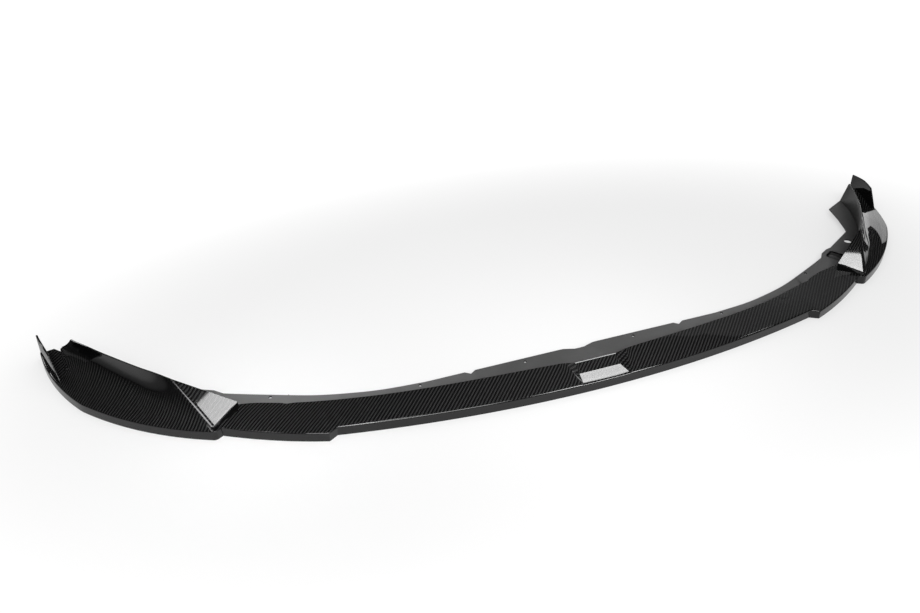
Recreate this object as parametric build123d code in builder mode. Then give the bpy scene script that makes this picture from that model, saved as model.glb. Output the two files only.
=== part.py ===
"""Front splitter lip for a car bumper, one carbon-fibre moulding.

Frame: millimetres, +Z up, X across the car, +Y towards the rear. The lip stands on z = 0 and
its origin is on the floor, at the middle of its length and of its depth.
It is drawn from the middle of its front edge, the right half first, and moved to the origin last.
"""

import os
from math import sqrt

from build123d import *

# Skin of the moulding
rim_height = 17.4  # turned-down front edge
rim_thickness = 4.0
skin_thickness = 3.0
flange_top = 15.0  # level of the flat fixing flange
flange_thickness = 3.0

# Front edge seen from above
front_radius = 2300.0  # long arc of the middle
step_x = 476.0  # where the edge steps forward into a tongue
step_run = 16.0
step_lead = 10.0
tongue_slope = 0.345  # sweep of the tongue at the step, and how fast it grows
tongue_growth = 0.00088
tongue_end_x = 652.0
end_corner = (664.0, 110.0)  # front corner of the end piece, beside the tongue
end_front_bow = 15.3
rim_corner = (865.0, 269.0)  # where the front edge turns into the side
side_bow = 12.0
tail = (926.0, 460.0)  # rear end of the side
corner_round = 5.0

# Crest of the band: distance from the middle, place behind the front edge, height
crest_stations = [
    (0.0, 47.0, 36.0),
    (150.0, 56.5, 36.0),
    (290.0, 71.0, 34.2),
    (375.0, 86.3, 31.0),
    (425.0, 101.3, 26.5),
    (474.0, 120.0, 20.5),
    (530.0, 139.5, 17.8),
    (590.0, 159.5, 20.5),
    (630.0, 164.0, 23.0),
    (668.0, 160.0, 24.0),
]
band_overlap = 14.0  # the band is drawn past the front edge, then trimmed to it

# Scoop in the middle of the band: places behind the front edge, with heights
scoop_half_width = 45.0
scoop_flare = 0.75  # how much wider it gets with height
scoop_overlap = 20.0
scoop_floor_rear = (30.0, 20.0)
scoop_wall_top = (45.5, 31.0)
scoop_sill_rear = (70.0, 33.0)

# Dished end piece: foot on the rim, wall top, height of the wall top, lean of the wall's back
end_stations = [
    ((664.0, 108.0), (714.5, 202.0), 76.0, -6.0),
    ((709.0, 130.0), (736.0, 224.0), 78.0, -6.0),
    ((756.0, 161.0), (760.0, 251.0), 77.0, -12.0),
    ((803.0, 199.0), (789.0, 288.0), 75.0, -15.0),
    ((848.0, 244.0), (818.0, 329.0), 71.0, -11.0),
    ((886.0, 303.0), (842.0, 366.0), 67.0, -2.0),
    ((911.0, 372.0), (866.0, 406.0), 60.5, 14.0),
    ((931.0, 450.0), (892.0, 466.0), 52.0, 24.0),
]
wall_top_width = 3.0
ridge_shares = [1.0, 0.5, 0.12]  # how straight the first sections are, from the ridge on
dish_reach = 0.55  # how far the dish stays low, as a share of its width
dish_turn = 0.93  # where it turns up into the wall
dish_sag = 2.0
dish_rise = 14.0
core_apex = 0.5  # height of the hollow behind the dish, as a share of the wall
core_low = 1.5  # skins below the dish where it is low, and where it turns up
core_turn = 3.0

# Flat facet between the band and the dish
facet_inner = (617.8, 146.6, 39.8)
facet_setback = 8.0

# Air slot between the wall and the fin
slot_front = (899.0, 337.0)
slot_kink = (884.0, 369.0)
slot_rear = (891.0, 470.0)
slot_floor_top = 12.5
slot_floor_front_y = 330.0
slot_floor_rear_y = 440.0
slot_ramp_front_y = 340.0  # a ramp on the floor rises to the rear
slot_ramp_rear = (450.0, 28.0)
slot_lap = 1.5  # how far floor and ramp run into the skin beside them

# Fin on the rear of the side: its outer face from above, then its outline as (y, z)
fin_thickness = 3.5
fin_front = (892.5, 338.0)
fin_middle = (908.0, 385.0)
fin_rear = (925.0, 459.0)
fin_lead_foot = (341.0, 17.0)
fin_shoulder = (378.0, 56.0)
fin_crown = (412.0, 59.0)
fin_tip_height = 54.0

# Flange behind the band and along the end wall
flange_rear_y = 114.0
flange_straight_x = 300.0
flange_sweep = [(380.0, 121.5), (445.0, 135.5), (493.0, 150.0), (550.0, 173.5), (607.0, 198.5)]
tab_inner = (634.0, 211.0)
tab_outer = (648.0, 226.0)
tab_end = (668.0, 236.5)
strip_start = (682.0, 239.5)
strip_end = (766.0, 287.0)
bay_middle = (786.0, 335.0)
bay_rear = (803.0, 389.0)
bay_round = 10.0
foot_rear = (844.0, 403.0)
notch_x = 215.0
notch_half_width = 10.0
notch_depth = 5.5
middle_notch_half_width = 27.0
middle_notch_depth = 8.0
groove_depth = 1.8  # across the flange, from each notch to the band
groove_front_y = 65.0

# Clip pocket let into the flange behind the facet
pocket_place = (669.0, 206.0)
pocket_size = (26.0, 30.0)
pocket_turn = 30.0
pocket_round = 4.0
pocket_floor = 7.0

# Rear trim of the end piece: a leaning plane from the flange's rear corner to the rear wall top
trim_outer = (923.0, 461.0)

# Screw holes
screw_hole = 6.0
screw_places = [(111.5, 104.0), (311.0, 108.0), (561.0, 171.0)]
end_screw_hole = 16.0
end_screw_place = (737.0, 249.0)

# Reach of the cutting blocks, past anything on the lip
form_height = 110.0
form_rear = 520.0
form_side = 1000.0


def front_y(x):
    """Front edge behind the middle of the lip, at a distance x from it."""
    if x <= step_x:
        return front_radius - sqrt(front_radius**2 - x**2)
    run = x - step_x - step_run
    return front_y(step_x) - step_lead + tongue_slope * run + tongue_growth * run**2


def bowed(start, end, bow):
    """Point at the middle of an arc that bows to the right of its chord."""
    chord = Vector(end) - Vector(start)
    right = Vector(chord.Y, -chord.X).normalized()
    return (Vector(start) + Vector(end)) / 2 + right * bow


def between(start, end, share):
    """Point at a share of the way from one sketch point to another."""
    return (start[0] + share * (end[0] - start[0]), start[1] + share * (end[1] - start[1]))


def near(place):
    """Selector for the sketch corners at a place and at its mirror image."""
    return lambda v: Vector(abs(v.X) - place[0], v.Y - place[1]).length < 0.01


def band_profile(x, crest_y, crest_z, inset):
    """Section across the band at one distance from the middle."""
    edge = front_y(abs(x))
    slope = (crest_z - rim_height) / (crest_y - edge)
    front = edge - band_overlap
    front_z = rim_height - slope * band_overlap - inset
    back = crest_y - inset
    with BuildSketch(Plane.YZ.offset(x)) as profile:
        with BuildLine():
            Polyline((front, -inset), (front, front_z), (back, crest_z - inset), (back, -inset), close=True)
        make_face()
    return profile.sketch


def end_depth(foot, top):
    """Plan distance from the foot on the rim to the wall top."""
    return (Vector(top) - Vector(foot)).length


def end_plane(foot, top):
    """Upright plane from a foot on the rim to the wall top."""
    across = (Vector(top) - Vector(foot)).normalized()
    return Plane(origin=Vector(foot), x_dir=across, z_dir=Vector(across.Y, -across.X))


def end_profile(index, inset):
    """Section of the dish and its wall, from the rim inwards, or of the hollow behind it."""
    foot, top, height, lean = end_stations[index]
    depth = end_depth(foot, top)
    edge = (0, rim_height)
    crown = (depth, height)
    low = (dish_reach * depth, rim_height + dish_sag)
    turn = (dish_turn * depth, rim_height + dish_rise)
    if index < len(ridge_shares):
        # The first section is the straight ridge beside the facet, and the next ones turn into the dish
        low = between(low, between(edge, crown, 1 / 3), ridge_shares[index])
        turn = between(turn, between(edge, crown, 2 / 3), ridge_shares[index])
    back_top = depth + wall_top_width
    with BuildSketch(end_plane(foot, top)) as profile:
        with BuildLine():
            if inset:
                start = (0, rim_height - inset)
                apex_z = rim_height + core_apex * (height - rim_height)
                apex_x = back_top + lean * (height - apex_z) / height - inset
                core_dish = (low[0] - inset, low[1] - core_low * inset)
                core_wall = (apex_x - inset, turn[1] - core_turn * inset)
                Bezier(start, core_dish, core_wall, (apex_x, apex_z))
                Polyline((apex_x, apex_z), (back_top + lean - inset, -inset), (0, -inset), start)
            else:
                Bezier(edge, low, turn, crown)
                Polyline(crown, (back_top, height), (back_top + lean, 0), (0, 0), edge)
        make_face()
    return profile.sketch


def wall_back(index):
    """Point in the thickness of the wall's back skin, at the flange."""
    foot, top, height, lean = end_stations[index]
    depth = end_depth(foot, top)
    reach = depth + wall_top_width + lean * (height - flange_top) / height - skin_thickness / 2
    return between(foot, top, reach / depth)


def facet_tip():
    """Lowest corner of the facet, on the ridge."""
    foot, top, height, lean = end_stations[0]
    share = facet_setback / end_depth(foot, top)
    return Vector(*between(foot, top, share), rim_height + share * (height - rim_height))


def facet_corners(inset):
    """Plan corners of the facet: tip, inner corner and ridge top, its two free sides moved in."""
    tip = Vector(facet_tip().X, facet_tip().Y)
    inner = Vector(facet_inner[0], facet_inner[1])
    top = Vector(end_stations[0][1])
    ridge = (top - tip).normalized()
    step_side = (inner - tip).normalized()
    rear_side = (top - inner).normalized()
    tip_move = ridge * (inset / ridge.cross(step_side).length)
    inner_move = (rear_side - step_side) * (inset / rear_side.cross(step_side).length)
    top_move = ridge * (-inset / ridge.cross(rear_side).length)
    return [tip + tip_move, inner + inner_move, top + top_move]


def facet_plane():
    """Plane of the facet, facing up."""
    foot, top, height, lean = end_stations[0]
    to_inner = Vector(facet_inner) - facet_tip()
    to_ridge = Vector(*top, height) - facet_tip()
    return Plane(origin=facet_tip(), x_dir=to_ridge, z_dir=to_ridge.cross(to_inner))


def end_half(inset):
    """Solid under the dish, the wall and the facet of the right end."""
    with BuildPart() as facet:
        with BuildSketch():
            with BuildLine():
                Polyline(*facet_corners(inset), close=True)
            make_face()
        extrude(amount=form_height)
        split(bisect_by=facet_plane().offset(-inset), keep=Keep.BOTTOM)
    with BuildPart() as half:
        loft(sections=[end_profile(i, inset) for i in range(len(end_stations))])
        add(facet.part)
    return half.part


def scoop(grow):
    """Hollow cut into the band, or the same hollow grown by the skin."""
    with BuildPart() as hollow:
        with BuildSketch(Plane.YZ):
            with BuildLine():
                Polyline(
                    (-scoop_overlap, rim_height),
                    scoop_floor_rear,
                    scoop_wall_top,
                    scoop_sill_rear,
                    (scoop_sill_rear[0], form_height),
                    (-scoop_overlap, form_height),
                    close=True,
                )
            make_face()
            if grow:
                offset(amount=grow, kind=Kind.INTERSECTION)
        extrude(amount=form_height, both=True)
        top_half_width = scoop_half_width + scoop_flare * (form_height - rim_height)
        with BuildSketch(Plane.XZ):
            with BuildLine():
                Polyline(
                    (-scoop_half_width, rim_height),
                    (scoop_half_width, rim_height),
                    (top_half_width, form_height),
                    (-top_half_width, form_height),
                    close=True,
                )
            make_face()
            if grow:
                offset(amount=grow, kind=Kind.INTERSECTION)
        extrude(amount=form_height, both=True, mode=Mode.INTERSECT)
    return hollow.part


# Plan outline of the whole lip, closed far behind it
step_inner = (step_x, front_y(step_x))
step_outer = (step_x + step_run, front_y(step_x) - step_lead)
tongue_end = (tongue_end_x, front_y(tongue_end_x))
tongue_middle_x = (step_outer[0] + tongue_end_x) / 2

with BuildSketch() as outline:
    with BuildLine():
        ThreePointArc((0, 0), (step_x / 2, front_y(step_x / 2)), step_inner)
        Line(step_inner, step_outer)
        ThreePointArc(step_outer, (tongue_middle_x, front_y(tongue_middle_x)), tongue_end)
        Line(tongue_end, end_corner)
        ThreePointArc(end_corner, bowed(end_corner, rim_corner, end_front_bow), rim_corner)
        ThreePointArc(rim_corner, bowed(rim_corner, tail, side_bow), tail)
        Polyline(tail, (tail[0], form_rear), (0, form_rear))
        mirror(about=Plane.YZ)
    make_face()
    fillet(outline.vertices().filter_by(near(end_corner)), corner_round)

with BuildSketch() as inner_outline:
    offset(outline.sketch, amount=-rim_thickness, kind=Kind.INTERSECTION)

# The band runs on past the middle, so that the right half meets its mirror image smoothly
crest_rows = [(-x, y, z) for x, y, z in reversed(crest_stations[1:6])] + crest_stations

# Full form of the right half, and the core that hollows it
with BuildPart() as form:
    loft(sections=[band_profile(x, y, z, 0) for x, y, z in crest_rows])
    add(end_half(0))
    add(scoop(0), mode=Mode.SUBTRACT)
    add(outline.sketch)
    extrude(amount=form_height, mode=Mode.INTERSECT)
    split(bisect_by=Plane.YZ, keep=Keep.TOP)

with BuildPart() as core:
    loft(sections=[band_profile(x, y, z, skin_thickness) for x, y, z in crest_rows])
    add(scoop(skin_thickness), mode=Mode.SUBTRACT)
    add(end_half(skin_thickness))
    add(inner_outline.sketch)
    extrude(amount=form_height, both=True, mode=Mode.INTERSECT)

# Block behind the leaning plane that trims the rear of the end piece
rear_wall_top = Vector(*end_stations[-2][1], end_stations[-2][2])
trim_origin = Vector(*bay_rear, flange_top)
trim_edge = Vector(*trim_outer, flange_top) - trim_origin
trim_plane = Plane(origin=trim_origin, x_dir=trim_edge, z_dir=trim_edge.cross(rear_wall_top - trim_origin))

with BuildPart() as rear_trim:
    with BuildSketch(Plane.XY.offset(-form_height)):
        with BuildLine():
            Polyline(
                bay_rear,
                (form_side, bay_rear[1]),
                (form_side, form_rear),
                (bay_rear[0], form_rear),
                close=True,
            )
        make_face()
    extrude(amount=2 * form_height)
    split(bisect_by=trim_plane, keep=Keep.BOTTOM)

# The flange meets the band under its crest and the end piece under the wall's back
crest_line = [(x, y - skin_thickness / 2) for x, y, z in crest_stations[:-1]]
wall_line = [wall_back(i) for i in range(len(end_stations) - 1)]
slot_floor_bottom = slot_floor_top - flange_thickness

# Ramp of the air slot, from the edge of the dish to the fin
slot_side = [(x - slot_lap, y) for x, y in (slot_front, slot_kink, slot_rear)]
fin_side = [(x - slot_lap, y) for x, y in (fin_front, fin_middle, fin_rear)]
slot_floor_share = (slot_floor_rear_y - slot_kink[1]) / (slot_rear[1] - slot_kink[1])
slot_floor_corner = between(slot_side[1], slot_side[2], slot_floor_share)

with BuildPart() as slot_ramp:
    with BuildSketch(Plane.YZ):
        with BuildLine():
            Polyline(
                (slot_ramp_front_y, slot_floor_top),
                slot_ramp_rear,
                (slot_ramp_rear[0], slot_ramp_rear[1] - skin_thickness),
                (slot_ramp_front_y, slot_floor_bottom),
                close=True,
            )
        make_face()
    extrude(amount=form_side)
    with BuildSketch():
        with BuildLine():
            Polyline(*slot_side, (form_side, slot_rear[1]), (form_side, slot_front[1]), close=True)
        make_face()
        with BuildLine():
            ThreePointArc(*fin_side)
            Polyline(fin_side[2], (0, fin_rear[1]), (0, fin_front[1]), fin_side[0])
        make_face(mode=Mode.INTERSECT)
    extrude(amount=form_height, mode=Mode.INTERSECT)
    add(rear_trim.part, mode=Mode.SUBTRACT)

with BuildPart() as right_half:
    add(form.part)
    add(core.part, mode=Mode.SUBTRACT)
    # Air slot between the wall and the fin
    with BuildSketch(Plane.XY.offset(slot_floor_top)):
        with BuildLine():
            Polyline(
                slot_front,
                slot_kink,
                slot_rear,
                (slot_rear[0], form_rear),
                (tail[0], form_rear),
                (tail[0], slot_front[1]),
                close=True,
            )
        make_face()
        add(inner_outline.sketch.moved(Location((0, 0, slot_floor_top))), mode=Mode.INTERSECT)
    extrude(amount=form_height, mode=Mode.SUBTRACT)
    add(rear_trim.part, mode=Mode.SUBTRACT)
    # Flat flange: behind the band, round the facet and along the end wall
    with BuildSketch(Plane.XY.offset(flange_top)):
        with BuildLine():
            Spline(*crest_line, tangents=[(1, 0), Vector(crest_line[-1]) - Vector(crest_line[-2])])
            Line(crest_line[-1], wall_line[0])
            Spline(*wall_line)
            Polyline(wall_line[-1], foot_rear, bay_rear)
            ThreePointArc(bay_rear, bay_middle, strip_end)
            Polyline(strip_end, strip_start, tab_end, tab_outer, tab_inner)
            Spline(tab_inner, *reversed(flange_sweep), (flange_straight_x, flange_rear_y))
            Polyline(
                (flange_straight_x, flange_rear_y),
                (notch_x + notch_half_width, flange_rear_y),
                (notch_x, flange_rear_y - notch_depth),
                (notch_x - notch_half_width, flange_rear_y),
                (middle_notch_half_width, flange_rear_y),
                (0, flange_rear_y - middle_notch_depth),
                crest_line[0],
            )
        make_face()
        fillet(vertices().filter_by(near(strip_end)), bay_round)
        with Locations(*screw_places):
            Circle(screw_hole / 2, mode=Mode.SUBTRACT)
        with Locations(end_screw_place):
            Circle(end_screw_hole / 2, mode=Mode.SUBTRACT)
    extrude(amount=-flange_top)
    # Everything inside the rim ends level with the flange's underside
    add(inner_outline.sketch)
    extrude(amount=flange_top - flange_thickness, mode=Mode.SUBTRACT)
    # Floor of the air slot, let into the rim, and the ramp on it
    with BuildSketch(Plane.XY.offset(slot_floor_bottom)):
        offset(outline.sketch.moved(Location((0, 0, slot_floor_bottom))), amount=-rim_thickness / 2)
        with BuildLine():
            Polyline(
                (slot_side[0][0], slot_floor_front_y),
                *slot_side[:2],
                slot_floor_corner,
                (form_side, slot_floor_rear_y),
                (form_side, slot_floor_front_y),
                close=True,
            )
        make_face(mode=Mode.INTERSECT)
    extrude(amount=flange_thickness)
    add(slot_ramp.part)
    # Grooves across the flange
    with BuildSketch(Plane.XZ.offset(-groove_front_y)):
        with BuildLine():
            Polyline(
                (notch_x - notch_half_width, flange_top),
                (notch_x, flange_top - groove_depth),
                (notch_x + notch_half_width, flange_top),
                close=True,
            )
        make_face()
    extrude(amount=-flange_rear_y, mode=Mode.SUBTRACT)
    # Clip pocket
    with BuildSketch(Plane.XY.offset(flange_top)):
        with Locations(pocket_place):
            RectangleRounded(*pocket_size, pocket_round, rotation=pocket_turn)
        offset(amount=skin_thickness)
    extrude(amount=pocket_floor - skin_thickness - flange_top)
    with BuildSketch(Plane.XY.offset(flange_top)):
        with Locations(pocket_place):
            RectangleRounded(*pocket_size, pocket_round, rotation=pocket_turn)
    extrude(amount=pocket_floor - flange_top, mode=Mode.SUBTRACT)

# Fin standing on the rear of the side, its lead edge sloping up to the shoulder
with BuildPart() as fin:
    with BuildSketch():
        with BuildLine():
            outer = ThreePointArc(fin_front, fin_middle, fin_rear)
            offset(outer, amount=fin_thickness, side=Side.LEFT)
        make_face()
    extrude(amount=form_height)
    with BuildSketch(Plane.YZ):
        with BuildLine():
            Polyline((fin_front[1], 0), (fin_front[1], fin_lead_foot[1]), fin_lead_foot, fin_shoulder)
            Spline(fin_shoulder, fin_crown, (fin_rear[1], fin_tip_height))
            Polyline((fin_rear[1], fin_tip_height), (fin_rear[1], 0), (fin_front[1], 0))
        make_face()
    extrude(amount=form_side, mode=Mode.INTERSECT)

with BuildPart() as front_lip:
    with Locations((0, -fin_rear[1] / 2, 0)):
        add(right_half.part)
        add(fin.part)
    mirror(about=Plane.YZ)

os.makedirs("parts", exist_ok=True)
front_lip.part.label = "front_lip"
export_step(front_lip.part, "parts/front_lip.step")
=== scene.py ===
"""Front splitter lip: a clear-coated carbon moulding on a white studio floor."""

import math

import bpy
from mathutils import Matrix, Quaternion, Vector


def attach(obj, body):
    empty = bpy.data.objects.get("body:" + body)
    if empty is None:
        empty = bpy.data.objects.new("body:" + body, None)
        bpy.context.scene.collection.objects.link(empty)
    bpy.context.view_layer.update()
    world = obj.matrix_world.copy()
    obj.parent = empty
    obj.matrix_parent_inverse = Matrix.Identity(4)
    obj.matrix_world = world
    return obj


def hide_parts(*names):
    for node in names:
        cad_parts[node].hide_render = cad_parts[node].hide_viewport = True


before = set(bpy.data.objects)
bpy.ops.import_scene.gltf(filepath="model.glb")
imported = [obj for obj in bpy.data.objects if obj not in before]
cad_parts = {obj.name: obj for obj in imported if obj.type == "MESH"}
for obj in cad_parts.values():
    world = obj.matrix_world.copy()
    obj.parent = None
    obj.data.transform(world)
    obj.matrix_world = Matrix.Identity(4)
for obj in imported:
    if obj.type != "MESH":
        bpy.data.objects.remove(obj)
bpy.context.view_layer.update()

# Sizes in millimetres, measured from the middle of the front edge as on the drawing
DEPTH = 459.0
RIM = 17.4
RIM_WIDTH = 4.0
FLANGE = 15.0
SKIN = 3.0
EDGE_ROUND = 1.6
RIM_ROUND = 3.0
FOOT_ROUND = 1.0
SMOOTH_ANGLE = 40.0

# Outline from above: long arc, step, tongue, then the two bows of the end
FRONT_RADIUS = 2300.0
STEP_INNER_X = 476.0
STEP_OUTER_X = 492.0
STEP_LEAD = 10.0
TONGUE_SLOPE = 0.345
TONGUE_GROWTH = 0.00088
TONGUE_END_X = 652.0
END_CORNER = Vector((664.0, 110.0))
RIM_CORNER = Vector((865.0, 269.0))
END_BOW = 15.3
TAIL = Vector((926.0, 460.0))
SIDE_BOW = 12.0
TAIL_END_Y = 452.0
# How far from a station's foot the outline is looked for, and in how many halvings
OUTLINE_REACH = (-12.0, 25.0)
OUTLINE_HALVINGS = 40

# Crest of the band: distance from the middle, place behind the front edge, height
CREST = [
    (0.0, 47.0, 36.0),
    (150.0, 56.5, 36.0),
    (290.0, 71.0, 34.2),
    (375.0, 86.3, 31.0),
    (425.0, 101.3, 26.5),
    (474.0, 120.0, 20.5),
    (530.0, 139.5, 17.8),
    (590.0, 159.5, 20.5),
    (630.0, 164.0, 23.0),
    (668.0, 160.0, 24.0),
]
CREST_BOTH_WAYS = [(-x, y, z) for x, y, z in reversed(CREST[1:6])] + CREST
BAND_CROWN = 1.5  # swell of the band between its rim and its crest
BAND_END_X = 660.0  # the band's height is read no further out
# Shares of the band's width at which its rows lie, close together at the scoop's creases
BAND_SHARES = [0.0, 0.15, 0.3, 0.46, 0.6, 0.625, 0.665, 0.78, 0.92, 0.945, 0.985, 1.0]

# Scoop: half width at the foot and at the top of its sides, then the heights
# of its floor, wall and sill, all by the place behind the front edge
SCOOP_FOOT = [(0.0, 47.5), (30.0, 41.5), (70.0, 41.5)]
SCOOP_TOP = [(0.0, 48.5), (47.0, 59.5), (70.0, 60.0)]
SCOOP_LINE = [(0.0, 18.05), (30.0, 20.0), (45.5, 31.0), (70.0, 33.0)]
SCOOP_CREST_X = 45.0  # its crest is the band's at this distance from the middle

# Flange's rear edge behind the band, with its notches
FLANGE_STRAIGHT = [
    (0, 106.5),
    (11, 107),
    (19, 110),
    (26, 113),
    (33, 114),
    (205, 114),
    (215, 108.5),
    (225, 114),
    (300, 114),
]
FLANGE_SWEEP = [
    (300, 114),
    (380, 121.5),
    (445, 135.5),
    (493, 150),
    (550, 173.5),
    (607, 198.5),
    (634, 211),
]
# Beside the facet and along the end wall: share or station, then the place
FLANGE_FACET = [
    (0.0, 617.8, 203.5),
    (0.22, 634, 211),
    (0.36, 648, 226),
    (0.62, 668, 236.5),
    (0.8, 682, 239.5),
    (1.0, 700, 249.7),
]
FLANGE_END = [
    (0, 700, 249.7),
    (1, 728, 265.5),
    (2, 752, 279),
    (2.25, 762.5, 285.2),
    (2.375, 765, 287),
    (2.5, 766.8, 289.2),
    (2.625, 768, 291.8),
    (3, 772.5, 301),
    (4, 788.5, 341),
    (5, 796.5, 367),
    (6, 803, 389),
]

# Dished end: foot, wall top, height of the wall top, lean of its back
END_STATIONS = [
    ((664.0, 108.0), (714.5, 202.0), 76.0, -6.0),
    ((709.0, 130.0), (736.0, 224.0), 78.0, -6.0),
    ((756.0, 161.0), (760.0, 251.0), 77.0, -12.0),
    ((803.0, 199.0), (789.0, 288.0), 75.0, -15.0),
    ((848.0, 244.0), (818.0, 329.0), 71.0, -11.0),
    ((886.0, 303.0), (842.0, 366.0), 67.0, -2.0),
    ((911.0, 372.0), (866.0, 406.0), 60.5, 14.0),
    ((931.0, 450.0), (892.0, 466.0), 52.0, 24.0),
]
LAST_FULL_STATION = 6
TAIL_STATION = 7
TAIL_COUNT = 8
WALL_TOP = 3.0
# How straight the section is at each station, from the ridge on
RIDGE_SHARES = [(0, 1.0), (1, 0.5), (2, 0.12), (3, 0.0), (4, 0.0), (7, 0.0)]
# Pulls of the dish's curve: share of its width, height above the rim
DISH_LOW = (0.55, 2.0)
DISH_TURN = (0.96, 14.0)
# Share of that curve on the front rows: at the ridge, its growth, how fast it grows
FRONT_SHARE = 0.075
FRONT_GROWTH = 0.5
FRONT_POWER = 0.7
# Leaning plane that trims the rear, by three of its points
REAR_TRIM = [
    Vector((803.0, 389.0, 15.0)),
    Vector((923.0, 461.0, 15.0)),
    Vector((866.0, 406.0, 60.5)),
]

# Flat facet between the band and the dish
FACET_INNER = Vector((617.8, 146.6, 39.8))
FACET_TIP = Vector((667.8, 115.0, 21.8))
FACET_TOP = Vector((714.5, 202.0, 76.0))
FACET_SPANS = 8
FACET_ROOM_X = 520.0  # from here the band makes room for the facet
TONGUE_SHARE = 0.72  # share of the facet's run that lies beside the tongue

# Air slot: its inner edge, its floor and ramp, and the roll of its inner edge
SLOT_FRONT = Vector((899.0, 337.0))
SLOT_KINK = Vector((884.0, 369.0))
SLOT_REAR = Vector((891.0, 470.0))
SLOT_FLOOR = 12.5
SLOT_FLOOR_REAR = 27.0
SLOT_FLOOR_LAP = 1.0
SLOT_FLOOR_CORNER = (899.0, 439.5)
SLOT_CUT_START_Y = 338
SLOT_CUT_END_Y = 476
SLOT_CUT_TOP = 110
RAMP_FRONT_Y = 345.0
RAMP_RUN = 95.0
SLOT_ROLL = 3.5
ROLL_LAP = 0.6
ROLL_SINK = 0.05
ROLL_UNDER = 2.0
ROLL_SKIN = 1.5
ROLL_TURNS = (0, 20, 40, 60, 80, 90)
ABOVE_ALL = 120  # height from which the skin is felt for below

# Fin: its outer face as (y, x), then its top as (y, z)
FIN_LINE = [(338.0, 892.5), (385.0, 908.0), (459.0, 925.0)]
FIN_TOP = [(338.0, 17.0), (341.0, 17.0), (378.0, 56.0), (412.0, 58.0), (459.0, 51.0)]
FIN_WIDTH = 3.5
FIN_ROUND = 1.2
FIN_SHOULDER_Y = 378
FIN_CLOTH_X = 900

# Grooves across the flange, clip pockets, and screw holes as (x, y, radius)
GROOVE_X = 215.0
GROOVE_HALF = 10.0
GROOVE_DEPTH = 1.8
POCKET_PLACE = (669.0, 206.0)
POCKET_SIZE = (26.0, 30.0)
POCKET_TURN = 30.0
POCKET_ROUND = 4.0
POCKET_FLOOR = 7.0
SCREWS = [
    (111.5, 104.0, 3.0),
    (311.0, 108.0, 3.0),
    (561.0, 171.0, 3.0),
    (737.0, 249.0, 8.0),
]
SCREW_CUT = 20.0

# Weave: width of a tow in metres, and how far a face has to look up to show its lit tows; steeper
# faces get them painted dark, as painted shade
TOW_WIDTH = 0.0019
TOP_LIGHT_FROM = 0.3
TOP_LIGHT_SPAN = 0.4

# Camera, in metres and degrees, for a picture 920 wide
CAMERA_PLACE = (-0.7262, -1.3612, 1.0275)
CAMERA_TILT = 56.97
CAMERA_TURN = -21.56
FOCAL_PIXELS = 944.42
PICTURE_WIDTH = 920
SENSOR_WIDTH = 36


def deselect():
    bpy.ops.object.select_all(action="DESELECT")


def activate(piece):
    deselect()
    piece.select_set(True)
    bpy.context.view_layer.objects.active = piece


def stand(point):
    """From the drawing's place in millimetres to the frame's metres."""
    return Vector((point[0], point[1] - DEPTH / 2, point[2])) / 1000


# Curves of the drawing
def through(rows, at):
    """Smooth curve through rows that start with their place, read at one place."""
    last = len(rows) - 2
    i = 0
    while i < last and at > rows[i + 1][0]:
        i += 1

    def slope(k, column):
        before = rows[max(k - 1, 0)]
        after = rows[min(k + 1, len(rows) - 1)]
        return (after[column] - before[column]) / (after[0] - before[0])

    span = rows[i + 1][0] - rows[i][0]
    t = (at - rows[i][0]) / span
    result = []
    for column in range(1, len(rows[0])):
        start = (2 * t**3 - 3 * t**2 + 1) * rows[i][column]
        start += (t**3 - 2 * t**2 + t) * span * slope(i, column)
        end = (3 * t**2 - 2 * t**3) * rows[i + 1][column]
        end += (t**3 - t**2) * span * slope(i + 1, column)
        result.append(start + end)
    return result


def straight(rows, at):
    """The same with straight lines between the rows."""
    for before, after in zip(rows, rows[1:]):
        if at <= after[0]:
            break
    t = (at - before[0]) / (after[0] - before[0])
    return [p + t * (q - p) for p, q in zip(before[1:], after[1:])]


def arc_y(x):
    return FRONT_RADIUS - math.sqrt(FRONT_RADIUS**2 - x * x)


def front_y(x):
    """Front edge behind the middle of the lip: long arc, step, tongue."""
    if x <= STEP_INNER_X:
        return arc_y(x)
    run = x - STEP_OUTER_X
    start = arc_y(STEP_INNER_X) - STEP_LEAD
    if run <= 0:
        return start - STEP_LEAD * run / (STEP_OUTER_X - STEP_INNER_X)
    return start + TONGUE_SLOPE * run + TONGUE_GROWTH * run * run


def band_z(x, y):
    """Height of the band at a place on it."""
    crest_y, crest_z = through(CREST_BOTH_WAYS, x)
    edge = front_y(x)
    share = min(1.0, max(0.0, y - edge) / (crest_y - edge))
    return RIM + (crest_z - RIM) * share + BAND_CROWN * 4 * share * (1 - share)


def bow_circle(start, end, bow):
    """Centre and radius of the arc over a chord, by its height over the chord."""
    chord = end - start
    right = Vector((chord.y, -chord.x)).normalized()
    radius = (chord.length**2 / 4 + bow**2) / (2 * bow)
    return (start + end) / 2 + right * (bow - radius), radius


END_CIRCLE = bow_circle(END_CORNER, RIM_CORNER, END_BOW)
SIDE_CIRCLE = bow_circle(RIM_CORNER, TAIL, SIDE_BOW)


def on_outline(foot, across):
    """Where a section line meets the outline of the end."""

    def outside(reach):
        place = foot + across * reach
        return max((place - centre).length - radius for centre, radius in (END_CIRCLE, SIDE_CIRCLE))

    near, far = OUTLINE_REACH
    for step in range(OUTLINE_HALVINGS):
        middle = (near + far) / 2
        if outside(middle) > 0:
            near = middle
        else:
            far = middle
    return foot + across * far


# Rows of a section: the shares at which a corner's round has its points,
# then how many rows the rim and the whole front of a dish have
CORNER_SHARES = (0.0, 0.33, 0.67, 1.0)
RIM_ROWS = 1 + len(CORNER_SHARES)
DISH_ROWS = RIM_ROWS + len(BAND_SHARES) - 2 + FACET_SPANS - 1 + 3 * len(CORNER_SHARES)
# Which strips between the rows are glossy, noted by section()
GLOSS_ROWS = []


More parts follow.
